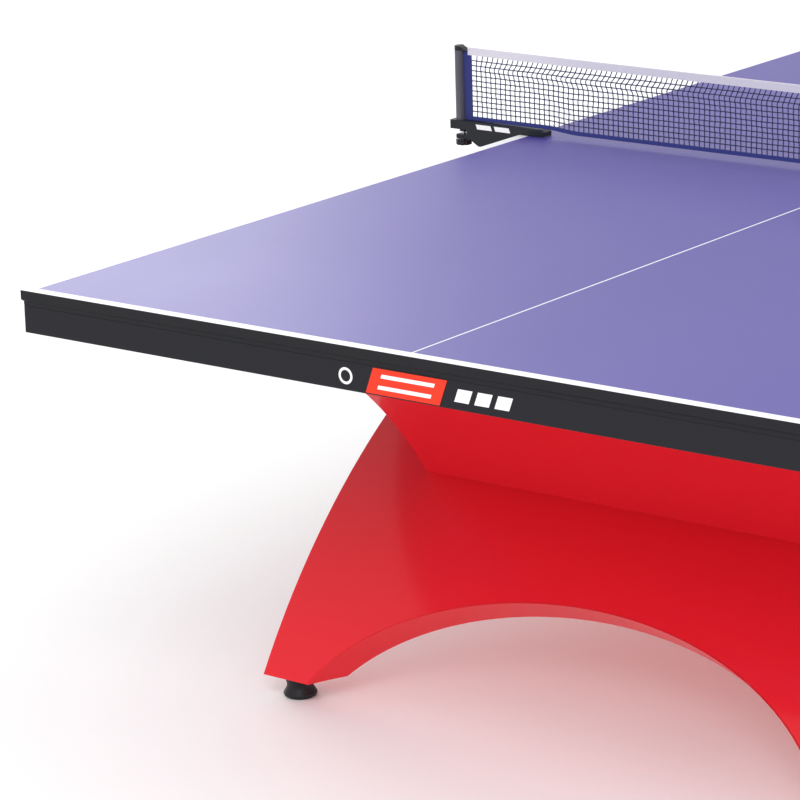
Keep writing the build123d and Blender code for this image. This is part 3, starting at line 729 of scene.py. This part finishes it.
@dataclass
class Net:
    """The net between its posts: knotted cords, the tape on top and the band below.

    Its side sleeves stay as they are in CAD. Sizes are in metres, and heights on the net
    run from 0 at the band to 1 at the tape.
    """

    pitch_across: float = 0.0110
    cells_up: int = 12
    cord: float = 0.0023
    knot: float = 1.25
    dip: float = 0.003
    lower_drop: float = 0.0050
    drop_run: float = 0.070
    sides: int = 5
    # The lean of the cords under the tape, and the height at which it starts.
    lean: float = 0.0095
    lean_from: float = 0.79
    lean_power: float = 1.1
    # The bow below that lean, strongest near the left end.
    bow: float = 0.0062
    bow_height: float = 0.80
    bow_spread: float = 0.085
    bow_from_left: float = 0.22
    bow_reach: float = 0.30
    # Distance from a sleeve over which both fade out, and the stray of a cord along X, Y, Z.
    fade_length: float = 0.05
    stray: tuple[float, float, float] = (0.0007, 0.0022, 0.0006)
    # The folded strips: points along, on each face and round the fold, depth of the fold as
    # a share of the height, stray of the cloth, and flat width as a share of the height.
    strip_points: int = 241
    face_points: int = 6
    fold_points: int = 9
    fold_depth: float = 0.06
    cloth_stray: float = 0.0003
    flat_share: float = 2.1

    def __post_init__(self) -> None:
        """Take the net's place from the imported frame."""
        self.mesh_low, self.mesh_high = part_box("net_mesh")
        self.tape_low, self.tape_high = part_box("net_tape")
        self.band_low, self.band_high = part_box("net_band")
        self.half = self.mesh_high.x

    def top_dip(self, x: np.ndarray) -> np.ndarray:
        """How far the tape hangs below its ends: a shallow parabola."""
        return self.dip * (1 - (x / self.half) ** 2)

    def bottom_rise(self, x: np.ndarray) -> np.ndarray:
        """How far the lower edge stands above its middle: raised where it lies on the arms."""
        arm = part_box("right_clamp")[0].x
        share = np.clip((np.abs(x) - arm + self.drop_run) / self.drop_run, 0, 1)
        return self.lower_drop * share**2 * (3 - 2 * share)

    def surface(self, across: np.ndarray, up: np.ndarray) -> np.ndarray:
        """Place of a point of the net.

        The cords stand upright over most of the height. Under the tape they lean, because
        the tape has been pulled along them, and just below that lean they bow the other
        way. Both fade out at the sleeves. Slow noise moves every cord a little.

        Args:
            across: distance from the middle, in metres.
            up: 0 at the band and 1 at the tape.

        Returns:
            Points, with a last axis of 3.
        """
        fade = 1 - np.exp(-((self.half - np.abs(across)) / self.fade_length))
        from_bow = across + self.half - self.bow_from_left
        bow_here = np.exp(-((from_bow / self.bow_reach) ** 2))
        pulled = np.clip((up - self.lean_from) / (1 - self.lean_from), 0, 1)
        lean = self.lean * pulled**self.lean_power
        bow = self.bow * bow_here * np.exp(-(((up - self.bow_height) / self.bow_spread) ** 2))
        drift = self.stray[0] * smooth_noise(across + 0.7 * up, 3)
        x = across + fade * (lean - bow + drift)
        low = self.mesh_low.z + self.bottom_rise(across)
        high = self.mesh_high.z - self.top_dip(across)
        z = low + (high - low) * up
        inside = np.sin(math.pi * np.clip(up, 0, 1))
        z = z + self.stray[2] * inside * smooth_noise(across, 11)
        y = self.stray[1] * inside * smooth_noise(across * 0.8 + 0.3 * up, 7)
        return np.stack(np.broadcast_arrays(x, y, z), axis=-1)

    def tubes(self, paths: np.ndarray, radii: np.ndarray) -> tuple[np.ndarray, list]:
        """Carry a small polygon along many paths at once.

        Args:
            paths: array of shape (cords, points, 3).
            radii: array of shape (points,) or (cords, points).

        Returns:
            The vertices and the faces, end caps included.
        """
        count, steps = paths.shape[:2]
        run = np.gradient(paths, axis=1)
        run /= np.linalg.norm(run, axis=2, keepdims=True)
        first = np.cross(run, np.array([0.0, 1.0, 0.0]))
        first /= np.linalg.norm(first, axis=2, keepdims=True)
        second = np.cross(run, first)
        turn = np.arange(self.sides) * 2 * math.pi / self.sides
        radii = np.broadcast_to(radii, (count, steps))[:, :, None, None]
        ring = (
            np.cos(turn)[None, None, :, None] * first[:, :, None, :]
            + np.sin(turn)[None, None, :, None] * second[:, :, None, :]
        )
        vertices = (paths[:, :, None, :] + radii * ring).reshape(-1, 3)
        index = np.arange(count * steps * self.sides).reshape(count, steps, self.sides)
        after = np.roll(index, -1, axis=2)
        quads = np.stack(
            [index[:, :-1], after[:, :-1], after[:, 1:], index[:, 1:]], axis=-1
        ).reshape(-1, 4)
        caps = np.concatenate([index[:, 0, ::-1], index[:, -1]]).tolist()
        return vertices, quads.tolist() + caps

    def build_cords(self, material: bpy.types.Material) -> None:
        """Make the knotted mesh of the net.

        Args:
            material: the cord's finish.
        """
        columns = round(2 * self.half / self.pitch_across)
        # Each cell has a knot, the cord's bare thickness on both sides of it, and its middle.
        inside_cell = np.array([0.0, 0.13, 0.5, 0.87])
        swell = np.array([self.knot, 1.0, 0.95, 1.0]) * self.cord / 2
        # Share of a cell by which the upright cords run on into the tape and the band.
        tuck = 0.25
        up = (np.arange(self.cells_up)[:, None] + inside_cell).ravel() / self.cells_up
        up = np.concatenate([[-tuck / self.cells_up], up, [1.0, 1 + tuck / self.cells_up]])
        up_radii = np.concatenate([[self.cord / 2], np.tile(swell, self.cells_up)])
        up_radii = np.concatenate([up_radii, [self.cord / 2, self.cord / 2]])
        across = (np.arange(columns)[:, None] + inside_cell).ravel() / columns
        across = self.half * (2 * np.concatenate([across, [1.0]]) - 1)
        across_radii = np.concatenate([np.tile(swell, columns), [self.cord / 2]])
        posts = self.half * (2 * np.arange(1, columns) / columns - 1)
        rows = np.arange(1, self.cells_up) / self.cells_up
        standing = self.surface(posts[:, None], up[None, :])
        lying = self.surface(across[None, :], rows[:, None])
        first, first_faces = self.tubes(standing, up_radii)
        second, second_faces = self.tubes(lying, across_radii)
        shift = len(first)
        faces = first_faces + [[number + shift for number in face] for face in second_faces]
        piece = mesh_object("net_cords", np.concatenate([first, second]), faces)
        paint(piece, material)
        stand_in(piece, "root", "net_cord", "net_mesh")
        LOG.info("net: %s", piece.name)

    def folded_strip(
        self, name: str, path: np.ndarray, drop: np.ndarray, half_gap: float, thickness: float
    ) -> bpy.types.Object:
        """Fold a strip of cloth over an edge and carry it along a path.

        Its section goes up one face, round the fold in a half circle, and down the other.

        Args:
            name: the piece's name.
            path: points along the fold, of shape (points, 3).
            drop: vectors from the fold to the strip's free edges, one for each point.
            half_gap: half the distance between the two faces.
            thickness: thickness of the cloth.

        Returns:
            The folded strip.
        """
        turn = np.linspace(0, math.pi, self.fold_points)[1:-1]
        face = np.linspace(1, 2 * self.fold_depth, self.face_points)
        round_fold = self.fold_depth - self.fold_depth * np.sin(turn)
        depth = np.concatenate([face, round_fold, face[::-1]])
        front = np.ones(self.face_points)
        out = np.concatenate([front, np.cos(turn), -front]) * half_gap
        normal = np.array([0.0, 1.0, 0.0])
        wander = self.cloth_stray * smooth_noise(path[:, 0] + path[:, 2], 5)[:, None, None]
        points = (
            path[:, None, :]
            + drop[:, None, :] * depth[None, :, None]
            + normal * (out[None, :, None] + wander)
        )
        return sheet_object(name, points, False, thickness, 0.0001)

    def hem(
        self, node: str, fold: Callable[[np.ndarray], np.ndarray], drop: float,
        thickness: float, material: bpy.types.Material,
    ) -> None:
        """Make one folded strip along an edge of the net.

        Args:
            node: the CAD node that it stands for, which is also its slot.
            fold: gives the height of the fold at places across the table.
            drop: how far the free edges stand above the fold, negative where they hang.
            thickness: thickness of the cloth.
            material: the cloth.
        """
        low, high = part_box(node)
        x = np.linspace(low.x, high.x, self.strip_points)
        path = np.stack([x, 0 * x, fold(x)], axis=-1)
        drops = np.broadcast_to([0.0, 0.0, drop], path.shape)
        half_gap = (high.y - low.y) / 2
        piece = self.folded_strip(f"{node}_cloth", path, drops, half_gap, thickness)
        paint(piece, material)
        stand_in(piece, "root", node, node)
        LOG.info("net: %s", piece.name)

    def build_cloth(self, tape: bpy.types.Material, band: bpy.types.Material) -> None:
        """Make the tape along the top and the band along the bottom.

        Args:
            tape: the white tape's cloth.
            band: the blue webbing.
        """
        self.hem(
            "net_tape", lambda x: self.tape_high.z - self.top_dip(x),
            self.tape_low.z - self.tape_high.z, 0.0006, tape,
        )
        self.hem(
            "net_band", lambda x: self.band_low.z + self.bottom_rise(x),
            self.band_high.z - self.band_low.z - self.lower_drop, 0.0005, band,
        )


# ------------------------------------------------------------------ studio


@dataclass(frozen=True)
class Softbox:
    """A square area light: its place, the point that it faces, its side and its watts."""

    name: str
    place: tuple[float, float, float]
    target: tuple[float, float, float]
    size: float
    power: float

    def hang(self) -> None:
        """Add the light to the scene."""
        data = bpy.data.lights.new(self.name, "AREA")
        data.size = self.size
        data.energy = self.power
        lamp = bpy.data.objects.new(self.name, data)
        bpy.context.scene.collection.objects.link(lamp)
        away = np.array(self.place) - np.array(self.target)
        lamp.location = self.place
        lamp.rotation_euler = (
            math.acos(away[2] / np.linalg.norm(away)), 0, math.atan2(away[0], -away[1])
        )


SOFTBOXES = [
    Softbox("key", (2.5, -5.5, 5.0), (0.0, -0.4, 0.5), 4.0, 190),
    Softbox("left_wall", (-7.0, 3.5, 2.6), (0.0, 0.0, 0.7), 5.0, 225),
]


@dataclass
class Studio:
    """Pale floor, soft lights and the camera. Lengths are in metres, the lens in mm."""

    eye: tuple[float, float, float] = (3.215, -5.532, 2.188)
    heading: float = math.radians(-37.77)
    descent: float = math.radians(15.87)
    roll: float = math.radians(1.73)
    lens: float = 167.82
    sensor: float = 36.0
    sight: float = 100.0
    daylight: float = 0.95
    floor_reach: float = 40.0

    def build(self) -> None:
        """Set up the world, the lights, the floor and the camera."""
        scene = bpy.context.scene
        scene.view_settings.view_transform = "Standard"
        world = bpy.data.worlds.new("studio")
        scene.world = world
        world.use_nodes = True
        background = world.node_tree.nodes["Background"]
        background.inputs["Color"].default_value = (1.0, 1.0, 1.0, 1.0)
        background.inputs["Strength"].default_value = self.daylight
        self.floor()
        for softbox in SOFTBOXES:
            softbox.hang()
        self.camera()

    def floor(self) -> None:
        """Lay a wide pale floor under the table."""
        reach = self.floor_reach
        corners = np.array([[-reach, -reach, 0], [reach, -reach, 0],
                            [reach, reach, 0], [-reach, reach, 0]])
        floor = mesh_object("studio_floor", corners, [[0, 1, 2, 3]])
        finish = Finish("studio_floor_paint", "#F4F6F6", "#F2F4F4", 0.9, grain=5, relief=0.001)
        paint(floor, finish.material())

    def camera(self) -> None:
        """Place the camera by its eye point, heading, descent and roll."""
        sin_h, cos_h = math.sin(self.heading), math.cos(self.heading)
        forward = np.array([
            sin_h * math.cos(self.descent), cos_h * math.cos(self.descent),
            -math.sin(self.descent),
        ])
        level = np.array([cos_h, -sin_h, 0.0])
        above = np.cross(level, forward)
        right = level * math.cos(self.roll) - above * math.sin(self.roll)
        up = above * math.cos(self.roll) + level * math.sin(self.roll)
        data = bpy.data.cameras.new("camera")
        data.lens = self.lens
        data.sensor_width = self.sensor
        data.clip_end = self.sight
        eye = bpy.data.objects.new("camera", data)
        bpy.context.scene.collection.objects.link(eye)
        matrix = np.eye(4)
        matrix[:3, 0], matrix[:3, 1], matrix[:3, 2] = right, up, -forward
        matrix[:3, 3] = self.eye
        eye.matrix_world = Matrix(matrix.tolist())
        bpy.context.scene.camera = eye


# ------------------------------------------------------------------ putting it together


def dress_nodes(materials: dict[str, bpy.types.Material]) -> None:
    """Give every CAD node that still shows the finish of its slot."""
    for part in frame["record"]["subparts"]:
        paint_node(part["node"], materials[part["material_slot"]])


def main() -> None:
    """Build the visual model in order and report each piece."""
    logging.basicConfig(level=logging.INFO, format="%(name)s: %(message)s")
    materials = {slot: finish.material() for slot, finish in FINISHES.items()}
    materials |= {slot: weave.material() for slot, weave in WEAVES.items()}
    dress_nodes(materials)
    Studio().build()
    ArchedBase().build(materials["base_lacquer"])
    net = Net()
    net.build_cords(materials["net_cord"])
    net.build_cloth(materials["net_tape"], materials["net_band"])


if __name__ == "__main__":
    main()
